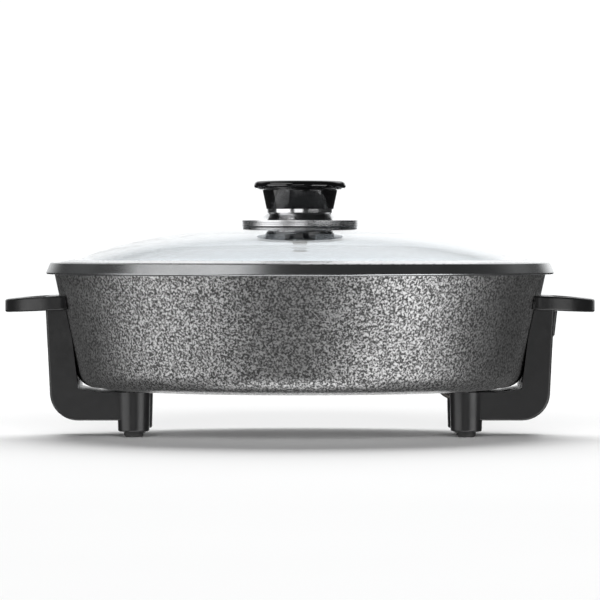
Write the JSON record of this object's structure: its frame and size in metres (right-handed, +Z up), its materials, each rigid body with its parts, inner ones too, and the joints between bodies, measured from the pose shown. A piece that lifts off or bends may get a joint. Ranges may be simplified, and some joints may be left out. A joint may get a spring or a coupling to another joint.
{
  "type": "electric frying pan",
  "caption": "Round deep electric frying pan with a domed glass lid, lift knob, side grips on leg mouldings and a power inlet under one grip.",
  "frame": {"origin": "on the floor, at the bottom of the rubber feet, under the pan's vertical axis", "axes": "+X towards the grip with the power inlet, along the line through both grips; +Z up; +Y towards the side away from the viewer"},
  "size_m": [0.4636, 0.4, 0.2008],
  "materials": {
    "speckled_enamel": "hammered dark grey enamel with pale specks on cast aluminium, satin non-stick coat inside",
    "black_moulding": "satin black phenolic moulding",
    "gloss_black": "polished black phenolic",
    "polished_steel": "mirror polished stainless steel",
    "brushed_steel": "brushed stainless steel",
    "plated_steel": "zinc plated steel hardware",
    "element_sheath": "heat tinted steel sheath",
    "nickel_contact": "nickel plated contact metal",
    "sensor_metal": "machined aluminium",
    "insert_brass": "machined brass",
    "ceramic_white": "unglazed white ceramic",
    "fibre": "pressed brown fibre",
    "rubber_black": "matt moulded rubber",
    "silicone_black": "matt silicone",
    "lid_glass": "clear tempered glass with a faint cool tint"
  },
  "bodies": {
    "pan": {"pan_casting": "speckled_enamel", "heating_element": "element_sheath", "left_leg_and_grip": "black_moulding", "left_leg_screws": "plated_steel", "left_spring_washers": "plated_steel", "left_front_foot": "rubber_black", "left_rear_foot": "rubber_black", "right_leg_and_grip": "black_moulding", "right_leg_screws": "plated_steel", "right_spring_washers": "plated_steel", "right_front_foot": "rubber_black", "right_rear_foot": "rubber_black", "fibre_washers": "fibre", "inlet_shroud": "black_moulding", "inlet_screws": "plated_steel", "terminal_pins": "nickel_contact", "terminal_bushes": "ceramic_white", "terminal_straps": "nickel_contact", "sensor_block": "sensor_metal", "earth_contact": "nickel_contact"},
    "lid": {"lid_glass": "lid_glass", "lid_rim_band": "brushed_steel", "steam_vent_eyelet": "polished_steel", "knob_cap": "gloss_black", "knob_insert": "insert_brass", "knob_skirt": "polished_steel", "knob_base_plate": "brushed_steel", "knob_spacer": "black_moulding", "upper_lid_washer": "silicone_black", "lower_lid_washer": "silicone_black", "steel_lid_washer": "plated_steel", "knob_screw": "plated_steel"}
  },
  "joints": [
    {"name": "lid_lift", "type": "slide", "parent": "pan", "child": "lid", "axis": [0, 0, 1], "range_m": [0, 0.15]}
  ]
}
